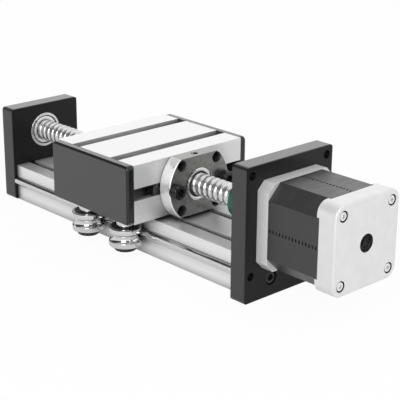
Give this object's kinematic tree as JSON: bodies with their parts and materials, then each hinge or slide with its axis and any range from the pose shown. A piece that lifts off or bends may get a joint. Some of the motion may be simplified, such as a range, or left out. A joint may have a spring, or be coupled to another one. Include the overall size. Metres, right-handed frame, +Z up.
{
  "type": "ball screw linear module",
  "caption": "Ball screw linear module: slotted base with side rods, carriage on grooved rollers, black end plates, jaw coupling and square stepper motor.",
  "frame": {"origin": "middle of the base's underside, halfway between the end plates", "axes": "+X along the screw towards the motor, +Z up, +Y to the right when seen from the motor end, so the left pieces lie at -Y"},
  "size_m": [0.3252, 0.106, 0.0875],
  "materials": {
    "clear_anodised_extrusion": "satin, clear anodised",
    "black_anodised_plate": "satin, black anodised",
    "polished_steel": "ground and polished",
    "rolled_screw_steel": "rolled and polished thread",
    "bearing_shield_steel": "pressed",
    "ground_nut_steel": "ground",
    "seal_rubber": "matte",
    "black_moulded_cap": "moulded, fine grain",
    "die_cast_motor_cap": "die cast, machined",
    "stator_laminations": "stacked sheets, black lacquer",
    "green_anodised_hub": "green anodised",
    "spider_polyurethane": "moulded",
    "black_oxide_steel": "black oxide",
    "zinc_plated_steel": "zinc plated"
  },
  "bodies": {
    "base": {"base_profile": "clear_anodised_extrusion", "guide_rod_left": "polished_steel", "guide_rod_right": "polished_steel", "end_plate": "black_anodised_plate", "end_plate_screws": "black_oxide_steel", "bearing_outer_ring": "polished_steel", "bearing_shields": "bearing_shield_steel", "bearing_balls": "polished_steel", "motor_plate": "black_anodised_plate", "motor_plate_screws": "black_oxide_steel", "motor_mount_screws": "black_oxide_steel", "motor_front_cap": "die_cast_motor_cap", "motor_stator": "stator_laminations", "motor_rear_cap": "die_cast_motor_cap", "motor_cap_screws": "zinc_plated_steel", "motor_bearing_outer_rings": "polished_steel"},
    "screw": {"ball_screw": "rolled_screw_steel", "bearing_inner_ring": "polished_steel", "lock_nut": "black_oxide_steel", "coupling_screw_hub": "green_anodised_hub", "coupling_spider": "spider_polyurethane", "coupling_motor_hub": "green_anodised_hub", "coupling_clamp_screws": "black_oxide_steel", "motor_shaft": "polished_steel", "motor_rotor": "stator_laminations", "motor_bearing_inner_rings": "polished_steel"},
    "carriage": {"carriage_extrusion": "clear_anodised_extrusion", "end_cap_left": "black_moulded_cap", "end_cap_right": "black_moulded_cap", "ball_nut": "ground_nut_steel", "nut_seals": "seal_rubber", "nut_screws": "black_oxide_steel", "nut_slide_nuts": "zinc_plated_steel", "roller_slide_nuts": "zinc_plated_steel", "roller_axles": "black_oxide_steel", "roller_spacers": "zinc_plated_steel", "roller_eccentrics": "zinc_plated_steel", "roller_inner_rings": "polished_steel"},
    "roller_front_left": {"roller_front_left": "polished_steel"},
    "roller_front_right": {"roller_front_right": "polished_steel"},
    "roller_rear_left": {"roller_rear_left": "polished_steel"},
    "roller_rear_right": {"roller_rear_right": "polished_steel"}
  },
  "joints": [
    {"name": "screw_spin", "type": "hinge", "parent": "base", "child": "screw", "pos_m": [0, 0, 0.049], "axis": [-1, 0, 0], "range_deg": [-5478, 2454]},
    {"name": "carriage_slide", "type": "slide", "parent": "base", "child": "carriage", "axis": [1, 0, 0], "range_m": [-0.076, 0.034]},
    {"name": "roller_front_left_spin", "type": "hinge", "parent": "carriage", "child": "roller_front_left", "pos_m": [0.021, -0.03885, 0.0145], "axis": [0, 0, 1], "continuous": true},
    {"name": "roller_front_right_spin", "type": "hinge", "parent": "carriage", "child": "roller_front_right", "pos_m": [0.021, 0.03885, 0.0145], "axis": [0, 0, 1], "continuous": true},
    {"name": "roller_rear_left_spin", "type": "hinge", "parent": "carriage", "child": "roller_rear_left", "pos_m": [-0.019, -0.03885, 0.0145], "axis": [0, 0, 1], "continuous": true},
    {"name": "roller_rear_right_spin", "type": "hinge", "parent": "carriage", "child": "roller_rear_right", "pos_m": [-0.019, 0.03885, 0.0145], "axis": [0, 0, 1], "continuous": true}
  ],
  "couplings": [
    {"joint": "screw_spin", "follows": "carriage_slide", "rad_per_m": 1256.6},
    {"joint": "roller_front_left_spin", "follows": "carriage_slide", "rad_per_m": 116.28},
    {"joint": "roller_front_right_spin", "follows": "carriage_slide", "rad_per_m": -116.28},
    {"joint": "roller_rear_left_spin", "follows": "carriage_slide", "rad_per_m": 116.28},
    {"joint": "roller_rear_right_spin", "follows": "carriage_slide", "rad_per_m": -116.28}
  ]
}
